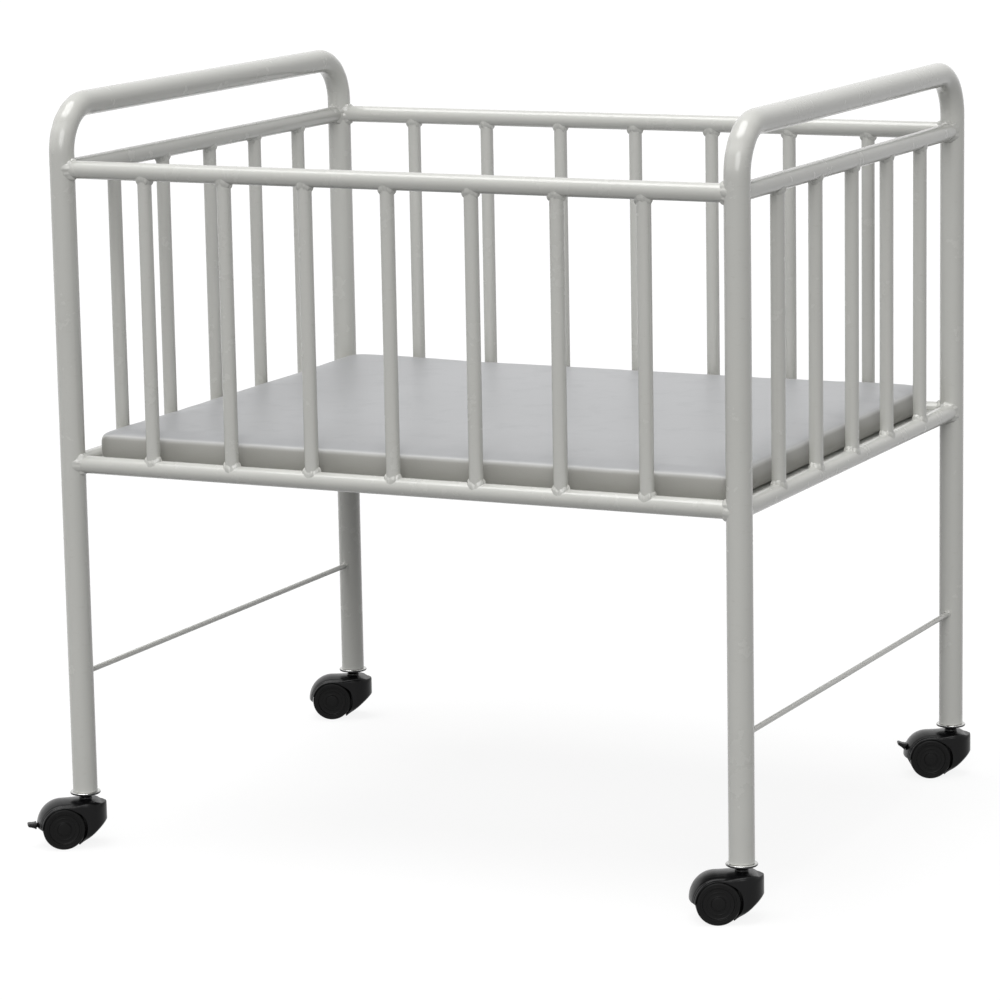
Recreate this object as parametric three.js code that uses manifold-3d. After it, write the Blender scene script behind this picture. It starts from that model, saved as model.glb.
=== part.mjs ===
// Hospital bassinet: a welded tubular cot on four castors, with a thin mattress.
// Millimetres, +Z up, +X along the long side, -Y towards the front.

import * as THREE from 'three';
import { mergeVertices } from 'three/addons/utils/BufferGeometryUtils.js';
import Module from 'manifold-3d';

const wasm = await Module();
wasm.setup();

// Frame, measured between the centre lines of the legs and above the floor
const frameLength = 772;
const frameWidth = 632;
const handleHeight = 805;
const upperRailDrop = 66;
const lowerRailHeight = 422;
const stretcherHeight = 190;
const hoopBendRadius = 50;

// Tubes and rods
const hoopDiameter = 26.9;
const hoopWall = 1.2;
const railDiameter = 19;
const railWall = 1.2;
const barDiameter = 15;
const barWall = 1.2;
const stretcherDiameter = 6;

// Upright bars: how many, and how far the first one stands from the leg
const sideBarCount = 7;
const sideBarEndGap = 100;
const endBarCount = 5;
const endBarEndGap = 106;

// Deck and mattress
const deckThickness = 1.2;
const deckFlange = 10;
const mattressThickness = 30;
const mattressCrown = 3;
const mattressDrawIn = 3;
const mattressCornerRadius = 8;
const mattressEdgeRadius = 7;
const mattressClearance = 4.5;

// Castor wheels and axle
const wheelRadius = 23;
const wheelWidth = 17;
const wheelChamfer = 2.5;
const wheelRimLand = 3.7;
const wheelDishDepth = 1.5;
const wheelHubWall = 3;
const axleRadius = 3;
const castorTrail = 26;

// Castor hood
const hoodWall = 2.6;
const hoodOverhang = 0.6;
const hoodLipAngle = 180;
const cheekThickness = 3;
const barrelRadius = 22.5;
const barrelEdge = 4;
const chinAngle = -51;
const chinWall = 1.6;
const bossDrop = 8;
const shoulderLength = 12;

// Castor stem
const pinRadius = 4;
const pinDepth = 22;
const neckLength = 6;
const flangeRadius = 16.5;
const flangeThickness = 2.6;
const plugLength = 32;

// Brake lever: a pedal on an arm that turns about the axle
const leverArmThickness = 4;
const leverArmHeight = 5;
const leverEyeWall = 3.5;
const pedalLength = 10;
const pedalWidth = 13;
const pedalRootThickness = 8;
const pedalTipThickness = 4;
const pedalRise = 1;
const leverAngleUp = 158;
const leverAngleDown = 178;

// Which way each castor points, in degrees from +X, and where its lever stands
const castors = [
  { corner: 'front_left', x: -1, y: -1, yaw: 36, lever: leverAngleDown },
  { corner: 'front_right', x: 1, y: -1, yaw: 28, lever: null },
  { corner: 'back_left', x: -1, y: 1, yaw: 26, lever: null },
  { corner: 'back_right', x: 1, y: 1, yaw: 28, lever: leverAngleUp },
];

// Clearances
const weldGap = 0.3;
const seatGap = 0.3;
const turnGap = 0.4;
const wheelSideGap = 0.6;
const wheelRimGap = 2.2;

// Facets
const hoopSides = 16;
const railSides = 16;
const barSides = 12;
const rodSides = 8;
const bendSteps = 6;
const wheelSides = 24;
const turnedSides = 16;
const shapeSteps = 10;
const mattressCornerSteps = 5;
const mattressSideSteps = 5;
const mattressRoundSteps = 3;
const mattressCrownRings = [0.85, 0.65, 0.35];

// Sizes that follow from the ones above
const hoopRadius = hoopDiameter / 2;
const railRadius = railDiameter / 2;
const barRadius = barDiameter / 2;
const stretcherRadius = stretcherDiameter / 2;
const legX = frameLength / 2;
const legY = frameWidth / 2;
const upperRailHeight = handleHeight - upperRailDrop;
const barMiddle = (upperRailHeight + lowerRailHeight) / 2;
const barReach = (upperRailHeight - lowerRailHeight) / 2;
const wheelCornerRadius = wheelRadius / Math.cos(Math.PI / wheelSides);
const wellRadius = wheelCornerRadius + wheelRimGap;
const hoodRadius = wellRadius + hoodWall;
const hoodTop = wheelRadius + hoodRadius;
const chinRadius = wellRadius + chinWall;
const leverEyeRadius = axleRadius + turnGap + leverEyeWall;
const slotHalfWidth = leverArmThickness / 2 + turnGap;
const webHalfWidth = slotHalfWidth + cheekThickness;
const wheelInnerFace = webHalfWidth + wheelSideGap;
const wheelOuterFace = wheelInnerFace + wheelWidth;
const wheelDishFace = wheelOuterFace - wheelDishDepth;
const axleEnd = wheelDishFace - wheelHubWall - turnGap;
const hoodHalfWidth = wheelOuterFace + hoodOverhang;
const flangeBottom = hoodTop + neckLength;
const legBottom = flangeBottom + flangeThickness + seatGap;
const deckTop = lowerRailHeight + deckThickness;
const mattressBottom = deckTop + seatGap;
const mattressLength = frameLength - railDiameter - 2 * mattressClearance;
const mattressWidth = frameWidth - railDiameter - 2 * mattressClearance;
const mattressEdge = Math.min(mattressEdgeRadius, mattressThickness / 2);

// Materials
const enamel = () => new THREE.MeshStandardMaterial({ color: 0xc9c9c4, roughness: 0.3, metalness: 0.1 });
const sheetSteel = () => new THREE.MeshStandardMaterial({ color: 0xb9bab7, roughness: 0.4, metalness: 0.2 });
const vinyl = () => new THREE.MeshStandardMaterial({ color: 0xbebdc2, roughness: 0.5, metalness: 0 });
const hoodPlastic = () => new THREE.MeshStandardMaterial({ color: 0x141414, roughness: 0.35, metalness: 0 });
const wheelPlastic = () => new THREE.MeshStandardMaterial({ color: 0x1b1b1b, roughness: 0.55, metalness: 0 });
const bright = () => new THREE.MeshStandardMaterial({ color: 0xbfc1c2, roughness: 0.25, metalness: 0.9 });

const bassinet = new THREE.Group();

function addMesh(parent, name, geometry, material) {
  const mesh = new THREE.Mesh(geometry, material);
  mesh.name = name;
  parent.add(mesh);
  return mesh;
}

// Solids joined and cut as closed meshes
function toSolid(geometry) {
  const plain = geometry.clone();
  plain.deleteAttribute('normal');
  plain.deleteAttribute('uv');
  const merged = mergeVertices(plain, 1e-4);
  const vertProperties = new Float32Array(merged.attributes.position.array);
  const triVerts = new Uint32Array(merged.index.array);
  return new wasm.Manifold(new wasm.Mesh({ numProp: 3, vertProperties, triVerts }));
}

function toGeometry(solid) {
  const mesh = solid.getMesh();
  const geometry = new THREE.BufferGeometry();
  geometry.setAttribute('position', new THREE.BufferAttribute(new Float32Array(mesh.vertProperties), 3));
  geometry.setIndex(new THREE.BufferAttribute(new Uint32Array(mesh.triVerts), 1));
  geometry.computeVertexNormals();
  return geometry;
}

function fromPoints(points, faces) {
  const geometry = new THREE.BufferGeometry();
  geometry.setAttribute('position', new THREE.Float32BufferAttribute(points.flatMap((p) => p.toArray()), 3));
  geometry.setIndex(faces.flat());
  geometry.computeVertexNormals();
  return geometry;
}

// Skin between rings of points that all have the same number of sides; each ring runs
// counter-clockwise as seen from the end of the stack
function skin(ringStarts, sides, faces) {
  for (let r = 0; r + 1 < ringStarts.length; r += 1) {
    for (let i = 0; i < sides; i += 1) {
      const j = (i + 1) % sides;
      const [low, high] = [ringStarts[r], ringStarts[r + 1]];
      faces.push([low + i, low + j, high + j], [low + i, high + j, high + i]);
    }
  }
}

// Hollow tube with open ends, from its outer rings and its inner rings
function hollowTube(outerRings, innerRings) {
  const sides = outerRings[0].length;
  const points = [...outerRings.flat(), ...innerRings.flat()];
  const starts = outerRings.map((ring, r) => r * sides);
  const innerStarts = starts.map((start) => start + outerRings.length * sides);
  const faces = [];
  const last = outerRings.length - 1;
  skin(starts, sides, faces);
  skin([...innerStarts].reverse(), sides, faces);
  skin([innerStarts[0], starts[0]], sides, faces);
  skin([starts[last], innerStarts[last]], sides, faces);
  return fromPoints(points, faces);
}

// Solid bar with closed ends, from its rings
function solidRod(rings) {
  const sides = rings[0].length;
  const starts = rings.map((ring, r) => r * sides);
  const faces = [];
  const last = starts[starts.length - 1];
  skin(starts, sides, faces);
  for (let i = 1; i + 1 < sides; i += 1) {
    faces.push([0, i + 1, i], [last, last + i, last + i + 1]);
  }
  return fromPoints(rings.flat(), faces);
}

// Ring of points with flats, not corners, facing along its two axes
function circle(radius, sides) {
  return Array.from({ length: sides }, (_, i) => {
    const angle = ((i + 0.5) / sides) * 2 * Math.PI;
    return [radius * Math.cos(angle), radius * Math.sin(angle)];
  });
}

// How far a tube's end stands from the axis of the round member that it is coped to,
// at the distance across that axis
function cope(memberRadius, across) {
  return Math.sqrt(Math.max((memberRadius + weldGap) ** 2 - across ** 2, 0));
}

// Hoop: up one leg, round a bend, along the handle and down again, in the YZ plane
function hoopGeometry() {
  const frames = [];
  const bendY = legY - hoopBendRadius;
  const bendZ = handleHeight - hoopBendRadius;
  const addFrame = (y, z, tilt) => frames.push({ y, z, tilt });
  addFrame(legY, legBottom, 0);
  for (const side of [1, -1]) {
    for (let s = 0; s <= bendSteps; s += 1) {
      const turn = (s / bendSteps) * (Math.PI / 2);
      const tilt = side > 0 ? turn : Math.PI / 2 + turn;
      addFrame(side * bendY + hoopBendRadius * Math.cos(tilt), bendZ + hoopBendRadius * Math.sin(tilt), tilt);
    }
  }
  addFrame(-legY, legBottom, Math.PI);
  const ringsOf = (radius) => frames.map(({ y, z, tilt }) => circle(radius, hoopSides).map(([a, b]) => (
    new THREE.Vector3(-b, y + a * Math.cos(tilt), z + a * Math.sin(tilt)))));
  return hollowTube(ringsOf(hoopRadius), ringsOf(hoopRadius - hoopWall));
}

// Straight tube along +X from -reach to +reach, its ends set back by setBack(across, up);
// across runs along +Y and up along +Z
function straightTube(reach, radius, wall, sides, setBack) {
  const ringsOf = (r) => [-1, 1].map((end) => circle(r, sides).map(([across, up]) => (
    new THREE.Vector3(end * (reach - setBack(across, up)), across, up))));
  if (wall === null) return solidRod(ringsOf(radius));
  return hollowTube(ringsOf(radius), ringsOf(radius - wall));
}

// Rails coped to the legs; a side rail also clears the end rails that meet the same leg
function endRailGeometry() {
  const setBack = (across) => cope(hoopRadius, across);
  return straightTube(legY, railRadius, railWall, railSides, setBack).rotateZ(Math.PI / 2);
}

function sideRailGeometry(inward) {
  const setBack = (across, up) => {
    const pastEndRail = across * inward > 0 ? cope(railRadius, up) : 0;
    return Math.max(cope(hoopRadius, across), pastEndRail);
  };
  return straightTube(legX, railRadius, railWall, railSides, setBack);
}

function stretcherGeometry() {
  const setBack = (across) => cope(hoopRadius, across);
  return straightTube(legY, stretcherRadius, null, rodSides, setBack).rotateZ(Math.PI / 2);
}

// Upright bar between the two rails of a side, whose rails run along X, or of an end, along Y
function barGeometry(railsAlongX) {
  const setBack = (across, up) => cope(railRadius, railsAlongX ? across : up);
  return straightTube(barReach, barRadius, barWall, barSides, setBack).rotateY(-Math.PI / 2);
}

function barPlaces(halfSpan, endGap, count) {
  const first = endGap - halfSpan;
  const pitch = (-2 * first) / (count - 1);
  return Array.from({ length: count }, (_, i) => first + i * pitch);
}

function addEnd(side, name) {
  const end = new THREE.Group();
  end.position.x = side * legX;
  addMesh(end, `${name}_end_hoop`, hoopGeometry(), enamel());
  addMesh(end, `${name}_upper_end_rail`, endRailGeometry(), enamel()).position.z = upperRailHeight;
  addMesh(end, `${name}_lower_end_rail`, endRailGeometry(), enamel()).position.z = lowerRailHeight;
  addMesh(end, `${name}_stretcher`, stretcherGeometry(), enamel()).position.z = stretcherHeight;
  barPlaces(legY, endBarEndGap, endBarCount).forEach((y, i) => {
    const bar = addMesh(end, `${name}_end_bar_${i + 1}`, barGeometry(false), enamel());
    bar.position.set(0, y, barMiddle);
  });
  bassinet.add(end);
}

function addSide(side, name) {
  const panel = new THREE.Group();
  panel.position.y = side * legY;
  addMesh(panel, `${name}_upper_side_rail`, sideRailGeometry(-side), enamel()).position.z = upperRailHeight;
  addMesh(panel, `${name}_lower_side_rail`, sideRailGeometry(-side), enamel()).position.z = lowerRailHeight;
  barPlaces(legX, sideBarEndGap, sideBarCount).forEach((x, i) => {
    const bar = addMesh(panel, `${name}_side_bar_${i + 1}`, barGeometry(true), enamel());
    bar.position.set(x, 0, barMiddle);
  });
  bassinet.add(panel);
}

// Deck: a sheet between the lower rails with its edges turned down along them
function deckGeometry() {
  const length = frameLength - railDiameter - 2 * weldGap;
  const width = frameWidth - railDiameter - 2 * weldGap;
  const wall = 2 * deckThickness;
  const outside = new THREE.BoxGeometry(length, width, deckFlange);
  const inside = new THREE.BoxGeometry(length - wall, width - wall, deckFlange);
  inside.translate(0, 0, -deckThickness);
  const sheet = toSolid(outside).subtract(toSolid(inside));
  return toGeometry(sheet).translate(0, 0, deckTop - deckFlange / 2);
}

// Mattress outline: a rectangle with round corners whose sides draw in between them;
// inset moves it in from the widest line
function mattressOutline(inset) {
  const halfLength = mattressLength / 2;
  const halfWidth = mattressWidth / 2;
  const widestCorner = mattressCornerRadius + mattressEdge;
  const straightX = halfLength - widestCorner;
  const straightY = halfWidth - widestCorner;
  const radius = widestCorner - inset;
  const corners = [[1, 1], [-1, 1], [-1, -1], [1, -1]];
  const points = [];
  corners.forEach(([sx, sy], quarter) => {
    for (let s = 0; s <= mattressCornerSteps; s += 1) {
      const angle = (quarter + s / mattressCornerSteps) * (Math.PI / 2);
      points.push([sx * straightX + radius * Math.cos(angle), sy * straightY + radius * Math.sin(angle)]);
    }
    for (let s = 1; s < mattressSideSteps; s += 1) {
      const run = 1 - (2 * s) / mattressSideSteps;
      const alongX = quarter % 2 === 0;
      if (alongX) points.push([run * sx * straightX, sy * (halfWidth - inset)]);
      else points.push([sx * (halfLength - inset), run * sy * straightY]);
    }
  });
  return points.map(([x, y]) => {
    const pullX = Math.abs(x) > straightX ? mattressDrawIn * (1 - (y / halfWidth) ** 2) : 0;
    const pullY = Math.abs(y) > straightY ? mattressDrawIn * (1 - (x / halfLength) ** 2) : 0;
    return [x - Math.sign(x) * pullX, y - Math.sign(y) * pullY];
  });
}

// Mattress: flat below, rounded edges, sides drawn in and a low crown on top
function mattressGeometry() {
  const rings = [];
  const top = mattressThickness;
  const addRing = (inset, z, share = 1) => {
    rings.push(mattressOutline(inset).map(([x, y]) => new THREE.Vector3(share * x, share * y, z)));
  };
  for (let s = 0; s <= mattressRoundSteps; s += 1) {
    const angle = (s / mattressRoundSteps) * (Math.PI / 2);
    addRing(mattressEdge * (1 - Math.sin(angle)), mattressEdge * (1 - Math.cos(angle)));
  }
  for (let s = 0; s <= mattressRoundSteps; s += 1) {
    const angle = (s / mattressRoundSteps) * (Math.PI / 2);
    addRing(mattressEdge * (1 - Math.cos(angle)), top - mattressEdge * (1 - Math.sin(angle)));
  }
  for (const share of mattressCrownRings) {
    addRing(mattressEdge, top + mattressCrown * (1 - share ** 2), share);
  }
  const sides = rings[0].length;
  const points = [...rings.flat(), new THREE.Vector3(0, 0, 0), new THREE.Vector3(0, 0, top + mattressCrown)];
  const starts = rings.map((ring, r) => r * sides);
  const faces = [];
  skin(starts, sides, faces);
  const [bottomCentre, topCentre] = [points.length - 2, points.length - 1];
  const lastStart = starts[starts.length - 1];
  for (let i = 0; i < sides; i += 1) {
    const j = (i + 1) % sides;
    faces.push([bottomCentre, j, i], [topCentre, lastStart + i, lastStart + j]);
  }
  return fromPoints(points, faces);
}

// Turned piece about +Z from (radius, height) pairs that run up its outside
function turned(profile, sides) {
  const points = profile.map(([r, z]) => new THREE.Vector2(r, z));
  return new THREE.LatheGeometry(points, sides, Math.PI / sides).rotateX(Math.PI / 2);
}

function stemGeometry() {
  const boreFlat = (hoopRadius - hoopWall) * Math.cos(Math.PI / hoopSides);
  const plugRadius = boreFlat - seatGap;
  const plugChamfer = hoopWall;
  const plugTop = legBottom + plugLength;
  return turned([
    [0, hoodTop - pinDepth],
    [pinRadius, hoodTop - pinDepth],
    [pinRadius, flangeBottom],
    [flangeRadius, flangeBottom],
    [flangeRadius, flangeBottom + flangeThickness],
    [plugRadius, flangeBottom + flangeThickness],
    [plugRadius, plugTop - plugChamfer],
    [plugRadius - plugChamfer, plugTop],
    [0, plugTop],
  ], turnedSides);
}

// Cylinder along Y, centred on the axle
function axleCylinder(radius, halfLength) {
  return new THREE.CylinderGeometry(radius, radius, 2 * halfLength, turnedSides)
    .translate(-castorTrail, 0, wheelRadius);
}

function axleGeometry() {
  return axleCylinder(axleRadius, axleEnd);
}

// Wheel with a blind hub bore in its inner face; side is +1 or -1 along the axle
function wheelGeometry(side) {
  const boreRadius = axleRadius + turnGap;
  const boreEnd = axleEnd + turnGap;
  const rimRadius = wheelCornerRadius - wheelChamfer;
  const dishRadius = rimRadius - wheelRimLand;
  const profile = [
    [0, boreEnd],
    [boreRadius, boreEnd],
    [boreRadius, wheelInnerFace],
    [wheelCornerRadius, wheelInnerFace],
    [wheelCornerRadius, wheelOuterFace - wheelChamfer],
    [rimRadius, wheelOuterFace],
    [dishRadius, wheelOuterFace],
    [dishRadius - wheelDishDepth, wheelDishFace],
    [0, wheelDishFace],
  ].map(([r, y]) => new THREE.Vector2(r, y));
  const wheel = new THREE.LatheGeometry(profile, wheelSides, Math.PI / wheelSides);
  if (side < 0) wheel.rotateX(Math.PI);
  return wheel.translate(-castorTrail, 0, wheelRadius);
}

// Plate with the outline given in X and Z, centred on the XZ plane
function uprightPlate(shape, thickness) {
  const plate = new THREE.ExtrudeGeometry(shape, {
    depth: thickness,
    bevelEnabled: false,
    curveSegments: shapeSteps,
  });
  return plate.translate(0, 0, -thickness / 2).rotateX(Math.PI / 2);
}

// Side view of the hood: a chin that slopes up before the wheels, the barrel, the cover over the wheels
function hoodSideShape() {
  const shape = new THREE.Shape();
  const lip = THREE.MathUtils.degToRad(hoodLipAngle);
  const chin = THREE.MathUtils.degToRad(chinAngle);
  const chinRun = (castorTrail + barrelRadius) * Math.cos(chin);
  shape.moveTo(chinRadius * Math.cos(chin) - castorTrail, wheelRadius + chinRadius * Math.sin(chin));
  shape.lineTo(barrelRadius, wheelRadius + (chinRadius - chinRun) / Math.sin(chin));
  shape.lineTo(barrelRadius, hoodTop - barrelEdge);
  shape.quadraticCurveTo(barrelRadius, hoodTop, barrelRadius - barrelEdge, hoodTop);
  shape.lineTo(-castorTrail, hoodTop);
  shape.absarc(-castorTrail, wheelRadius, hoodRadius, Math.PI / 2, lip, false);
  shape.lineTo(-castorTrail - bossDrop, wheelRadius - bossDrop);
  shape.lineTo(-castorTrail + bossDrop, wheelRadius - bossDrop);
  return shape;
}

// Plan view of the hood: as wide as the wheels behind, narrowing to the round barrel
function hoodPlanShape() {
  const shape = new THREE.Shape();
  const back = -castorTrail - hoodRadius - hoodWall;
  shape.moveTo(back, -hoodHalfWidth);
  shape.lineTo(-shoulderLength, -hoodHalfWidth);
  shape.quadraticCurveTo(-shoulderLength / 2, -barrelRadius, 0, -barrelRadius);
  shape.absarc(0, 0, barrelRadius, -Math.PI / 2, Math.PI / 2, false);
  shape.quadraticCurveTo(-shoulderLength / 2, barrelRadius, -shoulderLength, hoodHalfWidth);
  shape.lineTo(back, hoodHalfWidth);
  return shape;
}

function hoodGeometry() {
  const sideView = uprightPlate(hoodSideShape(), 2 * (hoodHalfWidth + hoodWall));
  const planView = new THREE.ExtrudeGeometry(hoodPlanShape(), {
    depth: hoodTop + hoodWall,
    bevelEnabled: false,
    curveSegments: shapeSteps,
  });
  let hood = toSolid(sideView).intersect(toSolid(planView));
  const wellWidth = hoodHalfWidth + hoodWall - webHalfWidth;
  for (const side of [1, -1]) {
    const well = new THREE.CylinderGeometry(wellRadius, wellRadius, wellWidth, wheelSides);
    well.translate(-castorTrail, side * (webHalfWidth + wellWidth / 2), wheelRadius);
    hood = hood.subtract(toSolid(well));
  }
  // Slot between the cheeks for the lever's arm, open at the back
  const highArm = THREE.MathUtils.degToRad(leverAngleUp);
  const slotFront = -castorTrail + leverEyeRadius + turnGap;
  const slotBack = -castorTrail - hoodRadius - hoodWall;
  const slotTop = wheelRadius + hoodRadius * Math.sin(highArm) + leverArmHeight / 2 + turnGap;
  const slot = new THREE.BoxGeometry(slotFront - slotBack, 2 * slotHalfWidth, slotTop);
  slot.translate((slotFront + slotBack) / 2, 0, slotTop / 2);
  const axleHole = axleCylinder(axleRadius + seatGap, hoodHalfWidth);
  const boreRadius = pinRadius + turnGap;
  const boreDepth = pinDepth + turnGap;
  const pinBore = new THREE.CylinderGeometry(boreRadius, boreRadius, 2 * boreDepth, turnedSides);
  pinBore.rotateX(Math.PI / 2).translate(0, 0, hoodTop);
  for (const cut of [slot, axleHole, pinBore]) hood = hood.subtract(toSolid(cut));
  return toGeometry(hood);
}

// Brake lever about the axle, its arm along +X before it is turned to its angle
function leverGeometry(angle) {
  const pedalStart = hoodRadius + turnGap;
  const eye = new THREE.CylinderGeometry(leverEyeRadius, leverEyeRadius, leverArmThickness, turnedSides);
  const armLength = pedalStart + pedalLength / 2;
  const arm = new THREE.BoxGeometry(armLength, leverArmThickness, leverArmHeight);
  arm.translate(armLength / 2, 0, 0);
  const tread = new THREE.Shape();
  tread.moveTo(pedalStart, -pedalRootThickness / 2);
  tread.lineTo(pedalStart + pedalLength, -pedalTipThickness / 2 - pedalRise);
  tread.lineTo(pedalStart + pedalLength, pedalTipThickness / 2 - pedalRise);
  tread.lineTo(pedalStart, pedalRootThickness / 2);
  const boreRadius = axleRadius + turnGap;
  const bore = new THREE.CylinderGeometry(boreRadius, boreRadius, pedalWidth, turnedSides);
  const pedal = uprightPlate(tread, pedalWidth);
  const lever = toSolid(eye).add(toSolid(arm)).add(toSolid(pedal)).subtract(toSolid(bore));
  return toGeometry(lever)
    .rotateY(-THREE.MathUtils.degToRad(angle))
    .translate(-castorTrail, 0, wheelRadius);
}

// Castor under each leg, its wheels trailing behind the swivel
function addCastor({ corner, x, y, yaw, lever }) {
  const castor = new THREE.Group();
  castor.position.set(x * legX, y * legY, 0);
  castor.rotation.z = THREE.MathUtils.degToRad(yaw);
  addMesh(castor, `${corner}_castor_stem`, stemGeometry(), bright());
  addMesh(castor, `${corner}_castor_hood`, hoodGeometry(), hoodPlastic());
  addMesh(castor, `${corner}_castor_axle`, axleGeometry(), bright());
  addMesh(castor, `${corner}_castor_left_wheel`, wheelGeometry(1), wheelPlastic());
  addMesh(castor, `${corner}_castor_right_wheel`, wheelGeometry(-1), wheelPlastic());
  if (lever !== null) addMesh(castor, `${corner}_brake_lever`, leverGeometry(lever), hoodPlastic());
  bassinet.add(castor);
}

addEnd(-1, 'left');
addEnd(1, 'right');
addSide(-1, 'front');
addSide(1, 'back');
addMesh(bassinet, 'mattress_deck', deckGeometry(), sheetSteel());
addMesh(bassinet, 'mattress', mattressGeometry(), vinyl()).position.z = mattressBottom;
castors.forEach(addCastor);

// Origin on the floor, under the middle of the whole object's box
bassinet.updateMatrixWorld(true);
const box = new THREE.Box3().setFromObject(bassinet, true);
const middle = box.getCenter(new THREE.Vector3());
bassinet.position.set(-middle.x, -middle.y, -box.min.z);

export default bassinet;
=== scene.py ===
import math
import bpy
import numpy as np
from mathutils import Matrix, Vector


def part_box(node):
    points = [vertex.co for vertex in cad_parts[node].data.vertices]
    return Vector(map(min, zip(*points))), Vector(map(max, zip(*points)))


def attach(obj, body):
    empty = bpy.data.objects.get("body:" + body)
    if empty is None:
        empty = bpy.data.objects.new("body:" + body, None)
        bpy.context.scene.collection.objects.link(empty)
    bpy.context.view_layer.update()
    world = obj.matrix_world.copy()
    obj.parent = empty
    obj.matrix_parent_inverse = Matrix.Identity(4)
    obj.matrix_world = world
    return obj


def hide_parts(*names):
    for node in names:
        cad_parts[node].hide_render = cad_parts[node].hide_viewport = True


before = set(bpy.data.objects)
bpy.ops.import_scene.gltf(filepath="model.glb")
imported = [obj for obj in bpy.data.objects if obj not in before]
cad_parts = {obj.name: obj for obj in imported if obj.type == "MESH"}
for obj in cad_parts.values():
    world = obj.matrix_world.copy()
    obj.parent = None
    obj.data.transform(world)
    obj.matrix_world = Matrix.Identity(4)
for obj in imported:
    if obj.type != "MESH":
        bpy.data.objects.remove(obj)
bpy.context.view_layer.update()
scene = bpy.context.scene
mm = 0.001
samePlace = 1e-6  # metres, points nearer than this are one
tiny = 1e-9  # keeps a division or a rounding off its edge
corners = ("front_left", "front_right", "back_left", "back_right")
alongX = np.array([1.0, 0.0, 0.0])
alongY = np.array([0.0, 1.0, 0.0])
upright = np.array([0.0, 0.0, 1.0])


def middle(node):
    low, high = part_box(node)
    return (np.array(low) + np.array(high)) / 2


# The legs stand on the castor stems' axes
legs = {corner: middle(f"{corner}_castor_stem")[:2] for corner in corners}
frameMiddle = np.mean([legs[corner] for corner in corners], axis=0)
heights = {"upper": middle("left_upper_end_rail")[2], "lower": middle("left_lower_end_rail")[2],
           "stretcher": middle("left_stretcher")[2]}
print("frame loaded, its middle at", frameMiddle)


def anglesRound(count):
    return np.arange(count) * 2 * math.pi / count


# 0 below low, 1 above high, with a smooth rise between
def smoothStep(low, high, value):
    share = np.clip((value - low) / (high - low), 0, 1)
    return share * share * (3 - 2 * share)


# quads over a grid of points, rows by columns, closed round in either direction if asked
def gridQuads(rows, columns, closeRows=False, closeColumns=False, start=0):
    row = np.arange(rows if closeRows else rows - 1)[:, None]
    column = np.arange(columns if closeColumns else columns - 1)[None, :]
    nextRow = (row + 1) % rows
    nextColumn = (column + 1) % columns
    quad = [row * columns + column, row * columns + nextColumn,
            nextRow * columns + nextColumn, nextRow * columns + column]
    return (start + np.stack([place.ravel() for place in quad], axis=1)).tolist()


# a loop of points carried along stations: quads round the loop, and a flat cap at each end
def loftFaces(stations, around, start=0):
    loop = np.arange(around)
    caps = [(start + loop[::-1]).tolist(), (start + (stations - 1) * around + loop).tolist()]
    return gridQuads(stations, around, closeColumns=True, start=start) + caps


# turns every face to point outwards, and keeps edges sharper than the angle crisp
def makePiece(name, points, faces, body, material, replaced=(), sharpAngle=40):
    mesh = bpy.data.meshes.new(name)
    mesh.from_pydata(np.asarray(points, float).reshape(-1, 3).tolist(), [], faces)
    mesh.update()
    piece = bpy.data.objects.new(name, mesh)
    scene.collection.objects.link(piece)
    bpy.context.view_layer.objects.active = piece
    bpy.ops.object.select_all(action="DESELECT")
    piece.select_set(True)
    bpy.ops.object.mode_set(mode="EDIT")
    bpy.ops.mesh.select_all(action="SELECT")
    bpy.ops.mesh.remove_doubles(threshold=samePlace)
    bpy.ops.mesh.normals_make_consistent(inside=False)
    bpy.ops.object.mode_set(mode="OBJECT")
    mesh.polygons.foreach_set("use_smooth", np.ones(len(mesh.polygons), bool))
    mesh.set_sharp_from_angle(angle=math.radians(sharpAngle))
    mesh.materials.append(material)
    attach(piece, body)
    if replaced:
        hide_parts(*replaced)
    return piece


# from sRGB bytes to the linear colour that a shader takes
def linear(red, green, blue):
    shares = np.array([red, green, blue]) / 255
    return (*np.where(shares <= 0.04045, shares / 12.92, ((shares + 0.055) / 1.055) ** 2.4), 1.0)


# Shader nodes: an underscore in a keyword stands for the space in a socket's name
def setInputs(node, values):
    for key, value in values.items():
        node.inputs[key.replace("_", " ")].default_value = value


def addNode(tree, kind, settings=None, **values):
    node = tree.nodes.new(kind)
    for key, value in (settings or {}).items():
        setattr(node, key, value)
    setInputs(node, values)
    return node


# links another node's output, or sets a plain value
def feed(tree, socket, value):
    if isinstance(value, bpy.types.NodeSocket):
        tree.links.new(value, socket)
    else:
        socket.default_value = value


def mathNode(tree, operation, first, second, clamp=False):
    node = addNode(tree, "ShaderNodeMath", {"operation": operation, "use_clamp": clamp})
    feed(tree, node.inputs[0], first)
    feed(tree, node.inputs[1], second)
    return node.outputs[0]


# 0 up to start, then rising by gain to 1
def maskAbove(tree, value, start, gain):
    return mathNode(tree, "MULTIPLY", mathNode(tree, "SUBTRACT", value, start, True), gain, True)


def noiseNode(tree, vector, scale, detail=2.0, roughness=0.5):
    node = addNode(tree, "ShaderNodeTexNoise", Detail=detail, Roughness=roughness)
    tree.links.new(vector, node.inputs["Vector"])
    feed(tree, node.inputs["Scale"], scale)
    return node.outputs["Fac"]


def mixColour(tree, mask, first, second):
    node = addNode(tree, "ShaderNodeMix", {"data_type": "RGBA"})
    tree.links.new(mask, node.inputs["Factor"])
    feed(tree, node.inputs["A"], first)
    feed(tree, node.inputs["B"], second)
    return node.outputs["Result"]


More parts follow.
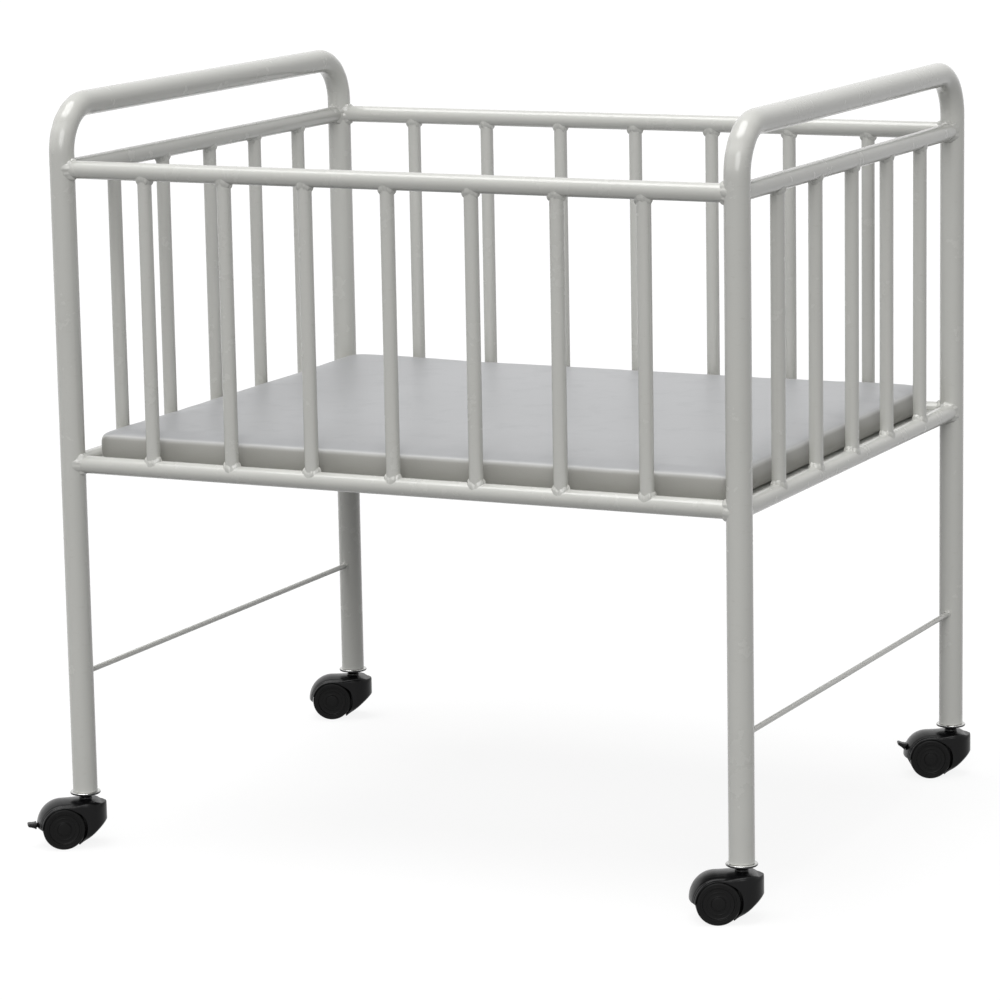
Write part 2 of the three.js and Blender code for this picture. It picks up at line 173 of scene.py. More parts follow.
# Shared finishes: each group reads a position and puts out what changes over the surface
def newGroup(name, inputs, outputs):
    group = bpy.data.node_groups.new(name, "ShaderNodeTree")
    for way, sockets in (("INPUT", inputs), ("OUTPUT", outputs)):
        for label, kind in sockets.items():
            group.interface.new_socket(label, in_out=way, socket_type=f"NodeSocket{kind}")
    return group, group.nodes.new("NodeGroupInput").outputs, group.nodes.new("NodeGroupOutput").inputs


coatPattern = {"driftScale": 7.0, "driftDetail": 3.0, "rippleDetail": 1.0, "rubScale": 24.0,
               "rubDetail": 5.0, "rubRoughness": 0.65, "rubStart": 0.52, "rubGain": 2.4}


# Sprayed coat: broad drift of tone, fine ripple like orange peel, a few dull rubbed patches
def sprayedCoatGroup():
    look = coatPattern
    group, given, put = newGroup(
        "sprayedCoat",
        {"Vector": "Vector", "Tone": "Color", "Drift": "Float", "Ripple Scale": "Float",
         "Base Roughness": "Float", "Rubbed": "Float"},
        {"Color": "Color", "Roughness": "Float", "Height": "Float"})
    broad = noiseNode(group, given["Vector"], look["driftScale"], look["driftDetail"])
    fine = noiseNode(group, given["Vector"], given["Ripple Scale"], look["rippleDetail"])
    patches = noiseNode(group, given["Vector"], look["rubScale"], look["rubDetail"], look["rubRoughness"])
    shift = mathNode(group, "MULTIPLY", mathNode(group, "SUBTRACT", broad, 0.5), given["Drift"])
    tint = addNode(group, "ShaderNodeVectorMath", {"operation": "SCALE"})
    group.links.new(given["Tone"], tint.inputs[0])
    group.links.new(mathNode(group, "ADD", shift, 1.0), tint.inputs["Scale"])
    group.links.new(tint.outputs[0], put["Color"])
    rub = maskAbove(group, patches, look["rubStart"], look["rubGain"])
    dulled = mathNode(group, "MULTIPLY", rub, given["Rubbed"])
    group.links.new(mathNode(group, "ADD", dulled, given["Base Roughness"]), put["Roughness"])
    group.links.new(fine, put["Height"])
    return group


scuffPattern = {"stretch": (1.0, 0.35, 2.6), "turn": (0.4, 0.9, 0.3), "lineDetail": 4.0,
                "lineRoughness": 0.7, "lineStart": 0.6, "lineGain": 6.0,
                "speckScale": 900.0, "speckStart": 0.66, "speckGain": 5.0}


# Scuffs: short scratches and dust specks as one mask between 0 and 1
def scuffsGroup():
    look = scuffPattern
    group, given, put = newGroup("scuffs", {"Vector": "Vector", "Scale": "Float", "Amount": "Float"},
                                 {"Mask": "Float"})
    stretch = addNode(group, "ShaderNodeMapping", Scale=look["stretch"], Rotation=look["turn"])
    group.links.new(given["Vector"], stretch.inputs["Vector"])
    lines = noiseNode(group, stretch.outputs[0], given["Scale"], look["lineDetail"], look["lineRoughness"])
    specks = noiseNode(group, given["Vector"], look["speckScale"])
    both = mathNode(group, "MAXIMUM", maskAbove(group, lines, look["lineStart"], look["lineGain"]),
                    maskAbove(group, specks, look["speckStart"], look["speckGain"]))
    group.links.new(mathNode(group, "MULTIPLY", both, given["Amount"], True), put["Mask"])
    return group


sprayedCoat = sprayedCoatGroup()
scuffs = scuffsGroup()


def newMaterial(name, tone, **settings):
    material = bpy.data.materials.new(name)
    material.use_nodes = True
    material.diffuse_color = tone
    tree = material.node_tree
    shader = tree.nodes["Principled BSDF"]
    setInputs(shader, settings)
    place = tree.nodes.new("ShaderNodeTexCoord").outputs["Object"]
    return material, tree, shader, place


def groupNode(tree, group, place, **values):
    node = addNode(tree, "ShaderNodeGroup", {"node_tree": group}, **values)
    tree.links.new(place, node.inputs["Vector"])
    return node.outputs


def coatNode(tree, place, look):
    return groupNode(tree, sprayedCoat, place, Tone=look["tone"], Drift=look["drift"],
                     Ripple_Scale=look["rippleScale"], Base_Roughness=look["roughness"],
                     Rubbed=look["rubbed"])


def finishShader(tree, shader, colour, roughness, height, look):
    tree.links.new(colour, shader.inputs["Base Color"])
    tree.links.new(roughness, shader.inputs["Roughness"])
    bump = addNode(tree, "ShaderNodeBump", Strength=look["ripple"], Distance=look["rippleDepth"])
    tree.links.new(height, bump.inputs["Height"])
    tree.links.new(bump.outputs["Normal"], shader.inputs["Normal"])


# Enamel or moulded plastic: the sprayed coat's tone and ripple, with worn marks where it is scuffed
def coatedMaterial(name, look):
    material, tree, shader, place = newMaterial(
        name, look["tone"], Coat_Weight=look["gloss"], Coat_Roughness=look["glossRoughness"],
        Specular_IOR_Level=look["specular"])
    coat = coatNode(tree, place, look)
    marks = groupNode(tree, scuffs, place, Scale=look["scuffScale"], Amount=look["scuffs"])
    colour = mixColour(tree, marks["Mask"], coat["Color"], look["worn"])
    finishShader(tree, shader, colour, coat["Roughness"], coat["Height"], look)
    return material


enamelLook = {"tone": linear(200, 200, 195), "roughness": 0.24, "rubbed": 0.16, "drift": 0.07,
              "ripple": 0.16, "rippleScale": 420.0, "rippleDepth": 0.4 * mm,
              "gloss": 0.35, "glossRoughness": 0.08, "specular": 0.5,
              "worn": linear(172, 170, 160), "scuffs": 0.28, "scuffScale": 110.0}
weldPaint = dict(enamelLook, ripple=0.55, rubbed=0.25, drift=0.12, rippleScale=650.0)
deckPaint = dict(enamelLook, tone=linear(186, 187, 183), roughness=0.36, rippleScale=300.0)
enamel = coatedMaterial("tubeEnamel", enamelLook)
weldEnamel = coatedMaterial("weldEnamel", weldPaint)
deckEnamel = coatedMaterial("deckEnamel", deckPaint)

plasticLook = {"tone": linear(13, 13, 14), "roughness": 0.28, "rubbed": 0.25, "drift": 0.25,
               "ripple": 0.3, "rippleScale": 1500.0, "rippleDepth": 0.2 * mm,
               "gloss": 0.1, "glossRoughness": 0.12, "specular": 0.12,
               "worn": linear(38, 37, 35), "scuffs": 0.25, "scuffScale": 230.0}
wheelLook = dict(plasticLook, tone=linear(12, 12, 12), roughness=0.4, ripple=0.4, scuffs=0.5, gloss=0.03)
hoodPlastic = coatedMaterial("hoodPlastic", plasticLook)
wheelPlastic = coatedMaterial("wheelPlastic", wheelLook)

# collar: the near-black colour of the painted dark reflection on the flange's edge and of the painted shade
# under the flange
steelLook = {"tone": linear(206, 206, 204), "roughness": 0.22, "rubbed": 0.3, "drift": 0.15,
             "ripple": 0.2, "rippleScale": 900.0, "rippleDepth": 0.2 * mm, "collar": linear(14, 14, 15)}


# Zinc-plated steel; below the given height, where there is one, near black and not metallic: a painted dark
# reflection on the flange's edge, and painted shade on the neck and collar under the flange
def steelMaterial(name, paintedDarkTop=None):
    look = steelLook
    material, tree, shader, place = newMaterial(name, look["tone"], Metallic=1.0)
    coat = coatNode(tree, place, look)
    colour = coat["Color"]
    if paintedDarkTop is not None:
        # below the height: the painted dark reflection and painted shade, with the metal turned off
        split = tree.nodes.new("ShaderNodeSeparateXYZ")
        tree.links.new(place, split.inputs[0])
        below = mathNode(tree, "LESS_THAN", split.outputs["Z"], paintedDarkTop)
        colour = mixColour(tree, below, colour, look["collar"])
        tree.links.new(mathNode(tree, "SUBTRACT", 1.0, below), shader.inputs["Metallic"])
    finishShader(tree, shader, colour, coat["Roughness"], coat["Height"], look)
    return material


print("materials made")


# Tubes: a ring of points carried along a path that lies in one plane.
# Rails and rods start inside the leg, reach off its axis.
tubeLook = {"hoopRadius": 13.45 * mm, "railRadius": 9.5 * mm, "barRadius": 7.5 * mm, "rodRadius": 3 * mm,
            "hoopSides": 56, "railSides": 48, "barSides": 40, "rodSides": 24,
            "stations": 25, "reach": 4 * mm}


# point = path + radius * (cos(a) * side * (1 - f) + sin(a) * planeNormal * (1 + f / 2)), f for flatten;
# side = planeNormal x tangent
def tubePoints(path, planeNormal, radius, sides, flatten):
    tangent = np.gradient(path, axis=0)
    tangent /= np.linalg.norm(tangent, axis=1, keepdims=True)
    side = np.cross(planeNormal, tangent)[:, None, :]
    angle = anglesRound(sides)[None, :, None]
    flatten = np.broadcast_to(flatten, len(path))[:, None, None]
    ring = np.cos(angle) * side * (1 - flatten) + np.sin(angle) * planeNormal * (1 + flatten / 2)
    return path[:, None, :] + radius * ring


def straightPath(start, end, stations):
    share = np.linspace(0, 1, stations)[:, None]
    return np.asarray(start, float) * (1 - share) + np.asarray(end, float) * share


hoopLook = {"rise": 66 * mm, "bendRadius": 50 * mm, "bendSteps": 40, "legSteps": 40, "handleSteps": 30,
            "flatten": 0.05, "ripple": 0.35 * mm, "ripples": 5}


# leg up, quarter bend, handle across, quarter bend, leg down; the handle lies rise above the upper rails
def endHoop(end):
    look, sides = hoopLook, tubeLook["hoopSides"]
    node = f"{end}_end_hoop"
    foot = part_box(node)[0][2]
    x = middle(node)[0]
    front, back = legs[f"front_{end}"][1], legs[f"back_{end}"][1]
    bend = look["bendRadius"]
    top = heights["upper"] + look["rise"]
    bendFoot = top - bend
    turn = np.linspace(0, math.pi / 2, look["bendSteps"])
    plane = np.full_like(turn, x)
    sweep, climb = bend * np.cos(turn), bend * np.sin(turn)
    legUp = straightPath((x, front, foot), (x, front, bendFoot), look["legSteps"])
    firstBend = np.stack([plane, front + bend - sweep, bendFoot + climb], axis=1)
    across = straightPath((x, front + bend, top), (x, back - bend, top), look["handleSteps"])
    lastBend = np.stack([plane, back - bend + climb, bendFoot + sweep], axis=1)
    legDown = straightPath((x, back, bendFoot), (x, back, foot), look["legSteps"])
    path = np.concatenate([legUp[:-1], firstBend, across[1:-1], lastBend, legDown[1:]])
    # the bends are a little flattened, and rippled on their inner side, both fading out at their ends
    hump = np.sin(2 * turn) ** 2
    swell, wave = np.zeros(len(path)), np.zeros(len(path))
    first = len(legUp) - 1
    last = first + len(turn) + len(across) - 2
    for begin in (first, last):
        bent = slice(begin, begin + len(turn))
        swell[bent] = hump
        wave[bent] = hump * np.sin(4 * look["ripples"] * turn)
    points = tubePoints(path, alongX, tubeLook["hoopRadius"], sides, look["flatten"] * swell)
    inner = np.clip(np.cos(anglesRound(sides)), 0, 1) ** 2
    outward = points - path[:, None, :]
    outward /= np.linalg.norm(outward, axis=2, keepdims=True)
    points += outward * (look["ripple"] * wave[:, None] * inner)[:, :, None]
    faces = loftFaces(len(path), sides)
    makePiece(f"{end}_hoop_tube", points, faces, "frame", enamel, [node])


def straightTube(node, start, end, kind):
    stations, radius, sides = tubeLook["stations"], tubeLook[f"{kind}Radius"], tubeLook[f"{kind}Sides"]
    planeNormal = alongX if kind == "bar" else upright
    points = tubePoints(straightPath(start, end, stations), planeNormal, radius, sides, 0.0)
    faces = loftFaces(stations, sides)
    makePiece(f"{node}_tube", points, faces, "frame", enamel, [node])


# centre on the carrying tube, way out of it, that tube's axis, kind of the welded tube and of its carrier
weldPlaces = []


def railBetween(node, first, second, height, kind):
    start, end = np.append(first, height), np.append(second, height)
    way = (end - start) / np.linalg.norm(end - start)
    straightTube(node, start + way * tubeLook["reach"], end - way * tubeLook["reach"], kind)
    weldPlaces.append((start, way, upright, kind, "hoop"))
    weldPlaces.append((end, -way, upright, kind, "hoop"))


def uprightBar(node, railAxis):
    x, y, _ = middle(node)
    low, high = np.array([x, y, heights["lower"]]), np.array([x, y, heights["upper"]])
    straightTube(node, low, high, "bar")
    weldPlaces.append((low, upright, railAxis, "bar", "rail"))
    weldPlaces.append((high, -upright, railAxis, "bar", "rail"))


barsPerEnd, barsPerSide = 5, 7
for end in ("left", "right"):
    front, back = legs[f"front_{end}"], legs[f"back_{end}"]
    endHoop(end)
    for level in ("upper", "lower"):
        railBetween(f"{end}_{level}_end_rail", front, back, heights[level], "rail")
    railBetween(f"{end}_stretcher", front, back, heights["stretcher"], "rod")
    for place in range(barsPerEnd):
        uprightBar(f"{end}_end_bar_{place + 1}", alongY)
for side in ("front", "back"):
    left, right = legs[f"{side}_left"], legs[f"{side}_right"]
    for level in ("upper", "lower"):
        railBetween(f"{side}_{level}_side_rail", left, right, heights[level], "rail")
    for place in range(barsPerSide):
        uprightBar(f"{side}_side_bar_{place + 1}", alongX)
print("tubes made,", len(weldPlaces), "welded joints")


# waves: size and count of each sine in the lumps
# foot and climb: how far a weld runs out on the carrier and up the tube
weldLook = {"around": 72, "across": 9, "seed": 7, "sharpAngle": 75,
            "waves": ((0.5, 5), (0.35, 9), (0.25, 14), (0.3, 2)), "footSway": 0.35, "climbSway": 0.25,
            "widest": 0.94, "sunk": 0.3 * mm, "inset": 0.15 * mm,
            "bulge": 0.9 * mm, "evenBulge": 0.55, "lumps": 0.45, "lift": 0.5, "hollow": 0.8, "core": 0.8,
            "foot": {"rail": 2.6 * mm, "rod": 1.6 * mm, "bar": 2.3 * mm},
            "climb": {"rail": 4.0 * mm, "rod": 2.2 * mm, "bar": 4.2 * mm}}


# Weld at a tube's end: a closed ring of section points carried round the tube.
# From the foot on the carrier, sqrt(R^2 - a^2) from its axis, up the tube by the climb, bulged by lumps
# that go as sines of the angle round the tube, and back inside the metal.
def weldRing(centre, out, axis, kind, carrier, phase):
    look = weldLook
    radius, carrierRadius = tubeLook[f"{kind}Radius"], tubeLook[f"{carrier}Radius"]
    around = anglesRound(look["around"])[:, None]
    rise = np.linspace(0, 1, look["across"])[None, :]
    cosine, sine = np.cos(around), np.sin(around)
    waves = zip(look["waves"], phase)
    lumps = sum(size * np.sin(count * around + shift) for (size, count), shift in waves)
    wide = radius + look["foot"][kind] * (1 + look["footSway"] * lumps)
    footAlong = wide * cosine
    footAcross = np.minimum(wide, look["widest"] * carrierRadius) * sine
    footHeight = np.sqrt(carrierRadius ** 2 - footAcross ** 2) - look["sunk"]
    topAlong, topAcross = (radius - look["inset"]) * cosine, (radius - look["inset"]) * sine
    climb = look["climb"][kind] * (1 + look["climbSway"] * lumps)
    topHeight = np.sqrt(carrierRadius ** 2 - topAcross ** 2) + climb
    bulge = look["bulge"] * np.sin(math.pi * rise) * (look["evenBulge"] + look["lumps"] * lumps)
    blend = rise ** look["hollow"]
    along = footAlong * (1 - blend) + topAlong * blend + bulge * cosine
    across = footAcross * (1 - blend) + topAcross * blend + bulge * sine
    height = footHeight * (1 - rise) + topHeight * rise + look["lift"] * bulge
    along = np.concatenate([along, look["core"] * topAlong], axis=1)[:, :, None]
    across = np.concatenate([across, look["core"] * topAcross], axis=1)[:, :, None]
    height = np.concatenate([height, (footHeight + topHeight) / 2], axis=1)[:, :, None]
    return centre + along * axis + across * np.cross(out, axis) + height * out


def weldPiece(name, places, phases):
    points, faces = [], []
    rows, columns = weldLook["around"], weldLook["across"] + 1
    for place, phase in zip(places, phases):
        faces += gridQuads(rows, columns, True, True, start=len(points) * rows * columns)
        points.append(weldRing(*place, phase))
    makePiece(name, np.stack(points), faces, "frame", weldEnamel,
              sharpAngle=weldLook["sharpAngle"])


weldDraws = np.random.default_rng(weldLook["seed"])
weldPhases = weldDraws.uniform(0, 2 * math.pi, (len(weldPlaces), len(weldLook["waves"])))
for name, kinds in (("bar_welds", ("bar",)), ("rail_welds", ("rail", "rod"))):
    chosen = [i for i, (_, _, _, kind, _) in enumerate(weldPlaces) if kind in kinds]
    weldPiece(name, [weldPlaces[i] for i in chosen], weldPhases[chosen])
print("welds made")


# Castors, worked out in millimetres about the stem's axis, with +X towards the swivel barrel
castorShape = {"trail": 26.0, "wheelRadius": 23.0, "hoodTop": 51.0}
castorYaw = {"front_left": 36, "front_right": 28, "back_left": 26, "back_right": 28}
leverAngle = {"front_left": 178, "back_right": 158}


def placed(corner, points):
    turn = np.array(Matrix.Rotation(math.radians(castorYaw[corner]), 3, "Z"))
    return np.asarray(points, float).reshape(-1, 3) * mm @ turn.T + np.append(legs[corner], 0.0)


# from distance and angle round the axle, and y along it
def aboutAxle(distance, angle, y):
    x = distance * np.cos(angle) - castorShape["trail"]
    z = distance * np.sin(angle) + castorShape["wheelRadius"]
    return np.stack(np.broadcast_arrays(x, y, z), axis=2)


# profile (radius, height) turned about an axis; the profile starts and ends on the axis
def turnedPoints(profile, around):
    radius, height = np.asarray(profile, float).T[:, :, None]
    angle = anglesRound(around)
    return np.stack(np.broadcast_arrays(radius * np.cos(angle), radius * np.sin(angle), height), axis=2)


# an arc from one corner of a profile to the next
def roundOff(centre, radius, startDegrees, endDegrees, steps=7):
    angle = np.radians(np.linspace(startDegrees, endDegrees, steps))
    across, up = centre[0] + radius * np.cos(angle), centre[1] + radius * np.sin(angle)
    return np.stack([across, up], axis=1).tolist()


# four points across a ring on a face: half its width, half its flat and its rise, which a groove has below 0
def ringAcross(radius, face, half, flat, rise):
    return [[radius + half, face], [radius + flat, face + rise],
            [radius - flat, face + rise], [radius - half, face]]


# dishFoot: steps in from the dish's edge and up from its floor. capCrown: radius and drop from the cap's top
wheelShape = {"around": 96, "sharpAngle": 32, "innerFace": 6.0, "outerFace": 23.0, "dishFace": 21.5,
              "capFace": 23.1, "boreRadius": 3.4, "boreEnd": 18.5, "boreBevel": 0.4,
              "innerRound": 2.4, "innerFlat": 1.0, "outerRound": 2.5,
              "grooveHalf": 0.4, "grooveFlat": 0.2, "treadGrooves": (11.6, 17.4), "treadDepth": 0.14,
              "faceGroove": 18.5, "faceDepth": 0.2, "dishRadius": 17.0, "dishRound": 0.4,
              "dishFoot": ((0.7, 0.4), (1.2, 0.05), (2.0, 0.0)),
              "ridgeRadius": 11.9, "ridgeHalf": 0.7, "ridgeFlat": 0.3, "ridgeRise": 0.25,
              "hubRadius": 8.2, "hubRound": 0.8, "capRadius": 6.6, "capRound": 0.7,
              "capCrown": ((3.0, 0.05), (1.2, 0.0), (0.0, 0.0))}


# Wheel's profile, (radius, place along the axle): bore, inner face, tread, outer face, dish, hub and cap
def wheelProfile():
    shape, radius = wheelShape, castorShape["wheelRadius"]
    inner, outer, dish = shape["innerFace"], shape["outerFace"], shape["dishFace"]
    bore, bevel, boreEnd = shape["boreRadius"], shape["boreBevel"], shape["boreEnd"]
    innerRound, outerRound = shape["innerRound"], shape["outerRound"]
    groove, flat = shape["grooveHalf"], shape["grooveFlat"]
    profile = [[0, boreEnd], [bore, boreEnd], [bore, inner + bevel], [bore + bevel, inner]]
    profile += [[radius - innerRound - shape["innerFlat"], inner]]
    profile += roundOff((radius - innerRound, inner + innerRound), innerRound, -90, 0)
    for height in shape["treadGrooves"]:
        across = ringAcross(height, radius, groove, flat, -shape["treadDepth"])
        profile += [[r, h] for h, r in reversed(across)]
    profile += roundOff((radius - outerRound, outer - outerRound), outerRound, 0, 90)
    profile += ringAcross(shape["faceGroove"], outer, groove, flat, -shape["faceDepth"])
    edge, edgeRound = shape["dishRadius"], shape["dishRound"]
    profile += [[edge + edgeRound, outer]]
    profile += roundOff((edge, outer - edgeRound), edgeRound, 90, 180, 4)
    profile += [[edge - inward, dish + up] for inward, up in shape["dishFoot"]]
    ridge, ridgeHalf, ridgeFlat = shape["ridgeRadius"], shape["ridgeHalf"], shape["ridgeFlat"]
    profile += ringAcross(ridge, dish, ridgeHalf, ridgeFlat, shape["ridgeRise"])
    hub, hubRound, cap = shape["hubRadius"], shape["hubRound"], shape["capRadius"]
    profile += roundOff((hub, dish + hubRound), hubRound, -90, -180, 5)
    profile += roundOff((cap, dish + hubRound), shape["capRound"], 0, 90, 5)
    return profile + [[r, shape["capFace"] - drop] for r, drop in shape["capCrown"]]


# the wheel's axis lies along Y; side is +1 for the left wheel and -1 for the right one
def castorWheel(corner, side):
    profile, around = wheelProfile(), wheelShape["around"]
    turned = turnedPoints(profile, around)
    points = np.stack([turned[:, :, 0] - castorShape["trail"], side * turned[:, :, 2],
                       turned[:, :, 1] + castorShape["wheelRadius"]], axis=2)
    name = "left" if side > 0 else "right"
    faces = gridQuads(len(profile), around, closeColumns=True)
    makePiece(f"{corner}_{name}_wheel", placed(corner, points), faces, f"{corner}_{name}_wheel",
              wheelPlastic, [f"{corner}_castor_{name}_wheel"], wheelShape["sharpAngle"])


# collar heights and neckFoot are over the hood. neckFlare: steps out from the neck and down from the flange
stemShape = {"around": 64, "sharpAngle": 32, "pinBottom": 29.5, "pinRadius": 4.0, "pinBevel": 0.6,
             "collarRadius": 6.6, "collarFoot": 0.4, "collarLip": 0.6, "lipHeight": 0.5,
             "collarMiddle": 1.4, "collarRound": 0.9, "collarTop": 3.0,
             "neckRadius": 5.2, "neckEase": 0.2, "neckFoot": 3.6,
             "neckFlare": ((0.0, 0.6), (1.0, 0.1), (3.8, 0.0)),
             "flangeBottom": 57.0, "flangeTop": 59.6, "flangeRadius": 16.5, "bottomRound": 0.9,
             "topRound": 1.1, "seatOuter": 13.2, "seatInner": 12.6, "seatRise": 0.25,
             "plugRadius": 10.8, "plugTop": 91.8, "plugBevel": 1.2}


# Stem's profile, (radius, height): pin in the hood, collar, neck, flange under the leg, plug in the leg
def castorStem(corner, material):
    shape, hood = stemShape, castorShape["hoodTop"]
    pin, bevel, bottom = shape["pinRadius"], shape["pinBevel"], shape["pinBottom"]
    collar, neck, seat = shape["collarRadius"], shape["neckRadius"], shape["seatRise"]
    flange, low, high = shape["flangeRadius"], shape["flangeBottom"], shape["flangeTop"]
    lowRound, highRound = shape["bottomRound"], shape["topRound"]
    plug, plugBevel, plugTop = shape["plugRadius"], shape["plugBevel"], shape["plugTop"]
    profile = [[0, bottom], [pin - bevel, bottom], [pin, bottom + bevel], [pin, hood + shape["collarFoot"]]]
    profile += [[collar + shape["collarLip"], hood + shape["lipHeight"]]]
    profile += roundOff((collar, hood + shape["collarMiddle"]), shape["collarRound"], -50, 60, 6)
    profile += [[collar, hood + shape["collarTop"]], [neck + shape["neckEase"], hood + shape["neckFoot"]]]
    profile += [[neck + out, low - drop] for out, drop in shape["neckFlare"]]
    profile += roundOff((flange - lowRound, low + lowRound), lowRound, -90, 0, 5)
    profile += roundOff((flange - highRound, high - highRound), highRound, 0, 90, 6)
    profile += [[shape["seatOuter"], high], [shape["seatInner"], high + seat], [plug, high + seat]]
    profile += [[plug, plugTop - plugBevel], [plug - plugBevel, plugTop], [0, plugTop]]
    points = turnedPoints(profile, shape["around"])
    faces = gridQuads(len(profile), shape["around"], closeColumns=True)
    makePiece(f"{corner}_stem", placed(corner, points), faces, "frame", material,
              [f"{corner}_castor_stem"], shape["sharpAngle"])


# Angles are in degrees round the axle, from the front up; a pair is where a form sets in and is full
hoodShape = {"wellRadius": 25.4, "archRadius": 28.0, "half": 23.6, "barrelRadius": 22.5, "shoulder": 12.0,
             "chinAngle": -51, "chinRadius": 27.0, "chinTop": 5,
             "taper": 0.4, "taperPower": 1.5, "taperTurn": (8, 46),
             "slope": 3.6, "slopeLeast": 0.3, "crown": 4.2, "wellCrown": 2.2, "crownTurn": (22, 60),
             "edge": 1.2, "barrelEdge": 4.0, "edgeTurn": (35, 80),
             "groove": 0.55, "grooves": ((17.5, 0.9), (20.2, 0.5)), "grooveTurn": (60, 75),
             "stations": 167, "sidePoints": 30, "topPoints": 41, "wellPoints": 17, "sharpAngle": 35}
webShape = {"inner": 7.6, "outer": 26.0, "half": 5.2, "afterChin": 1, "lastAngle": 122, "stations": 60}


# half the hood's width at x: barrel round the stem, a shoulder, then the full width over the wheels
def hoodHalfWidth(x):
    shape, barrel = hoodShape, hoodShape["barrelRadius"]
    front = np.sqrt(np.clip(barrel ** 2 - np.clip(x, 0, None) ** 2, 0, None))
    behind = barrel + (shape["half"] - barrel) * smoothStep(0, shape["shoulder"], -x)
    return np.where(x > 0, front, behind)


# distance of the hood's outside from the axle, and height of its top over the axle.
# The distance is the least of the chin's slope, the barrel's front and the top, which falls by
# slope * (x / barrelRadius)^2 before the stem. Past the top it is the arch's radius.
def hoodOutside(angle):
    shape, arch, trail = hoodShape, hoodShape["archRadius"], castorShape["trail"]
    least = 1e-3  # of a sine or cosine, to divide by
    x = arch / np.tan(np.clip(angle, shape["slopeLeast"], math.pi / 2)) - trail
    top = arch - shape["slope"] * np.clip(x / shape["barrelRadius"], 0, 1) ** 2
    fromFront = (shape["barrelRadius"] + trail) / np.clip(np.cos(angle), least, None)
    fromTop = top / np.clip(np.sin(angle), least, None)
    offChin = angle - math.radians(shape["chinAngle"])
    fromChin = shape["chinRadius"] / np.clip(np.cos(offChin), least, None)
    forward = np.minimum(np.minimum(fromFront, fromTop), fromChin)
    return np.where(np.cos(angle) > 0, forward, arch), top


# Hood: at each angle round the axle, a closed loop of (distance from the axle, y).
# In: the wheel well. Out: hoodOutside. Sides: hoodHalfWidth, drawn in near the outside by a quarter round
# and tapered down the chin. Both skins drop towards the sides, by crown * (y / half)^2.
def castorHood(corner):
    shape, well = hoodShape, hoodShape["wellRadius"]
    degrees = np.linspace(shape["chinAngle"], 180, shape["stations"])[:, None]
    angle = np.radians(degrees)
    cosine, sine = np.cos(angle), np.sin(angle)
    outer, top = hoodOutside(angle)
    share = 1 - (1 - np.linspace(0, 1, shape["sidePoints"])[None, :]) ** 2
    flat = well + (outer - well) * share
    below = np.where(cosine > 0, top - flat * sine, shape["archRadius"] - flat)
    below = np.where(degrees < shape["chinTop"], np.minimum(below, outer - flat), below)
    onBarrel = 1 - smoothStep(*shape["edgeTurn"], degrees)
    edge = shape["edge"] + (shape["barrelEdge"] - shape["edge"]) * onBarrel
    drawIn = edge - np.sqrt(np.clip(edge ** 2 - np.clip(edge - below, 0, None) ** 2, 0, None))
    half = np.clip(hoodHalfWidth(flat * cosine - castorShape["trail"]) - drawIn, 0, None)
    half = half * (1 - shape["taper"] * smoothStep(*shape["taperTurn"], -degrees) ** shape["taperPower"])
    topY = half[:, -1:] * np.linspace(1, -1, shape["topPoints"])[None, 1:-1]
    wellY = half[:, :1] * np.linspace(-1, 1, shape["wellPoints"])[None, 1:-1]
    over = smoothStep(*shape["crownTurn"], degrees)
    sideDrop, topDrop, wellDrop = [over * (np.abs(y) / shape["half"]) ** 2 for y in (half, topY, wellY)]
    # shallow grooves along each side of the arch, as moulded
    groove = shape["groove"] * smoothStep(*shape["grooveTurn"], degrees)
    dip = sum(groove * np.exp(-((np.abs(topY) - place) / width) ** 2) for place, width in shape["grooves"])
    side = flat - sideDrop * (shape["wellCrown"] + (shape["crown"] - shape["wellCrown"]) * share)
    loopDistance = np.concatenate([side, outer - dip - shape["crown"] * topDrop, side[:, ::-1],
                                   well - shape["wellCrown"] * wellDrop], axis=1)
    loopY = np.concatenate([half, topY, -half[:, ::-1], wellY], axis=1)
    points = aboutAxle(loopDistance, angle, loopY)
    # web between the wheels, from the axle's boss to the well
    web = webShape
    firstAngle = shape["chinAngle"] + web["afterChin"]
    webAngle = np.radians(np.linspace(firstAngle, web["lastAngle"], web["stations"]))[:, None]
    webDistance = np.array([[web["inner"], web["outer"], web["outer"], web["inner"]]])
    webY = web["half"] * np.array([[-1, -1, 1, 1]])
    webPoints = aboutAxle(webDistance, webAngle, webY)
    faces = loftFaces(*points.shape[:2]) + loftFaces(*webPoints.shape[:2], start=points[:, :, 0].size)
    every = np.concatenate([points.reshape(-1, 3), webPoints.reshape(-1, 3)])
    makePiece(f"{corner}_hood", placed(corner, every), faces, f"{corner}_castor", hoodPlastic,
              [f"{corner}_castor_hood"], shape["sharpAngle"])


leverShape = {"start": 4.4, "armEnd": 26.5, "pedalStart": 27.0, "end": 38.4, "armPoints": 30,
              "pedalPoints": 40, "around": 40, "sharpAngle": 50, "root": (28.3, 29.1), "rootEnd": 29.0,
              "tipRound": 1.8, "tipLeast": 0.02, "tipNarrowing": 0.3, "armHalf": 1.9, "pedalHalf": 6.4,
              "armThick": 2.3, "pedalThick": 1.8, "rootSwell": 2.2, "rootFade": 3.5,
              "droop": 0.1, "rib": 0.15, "ribRate": 3.6}


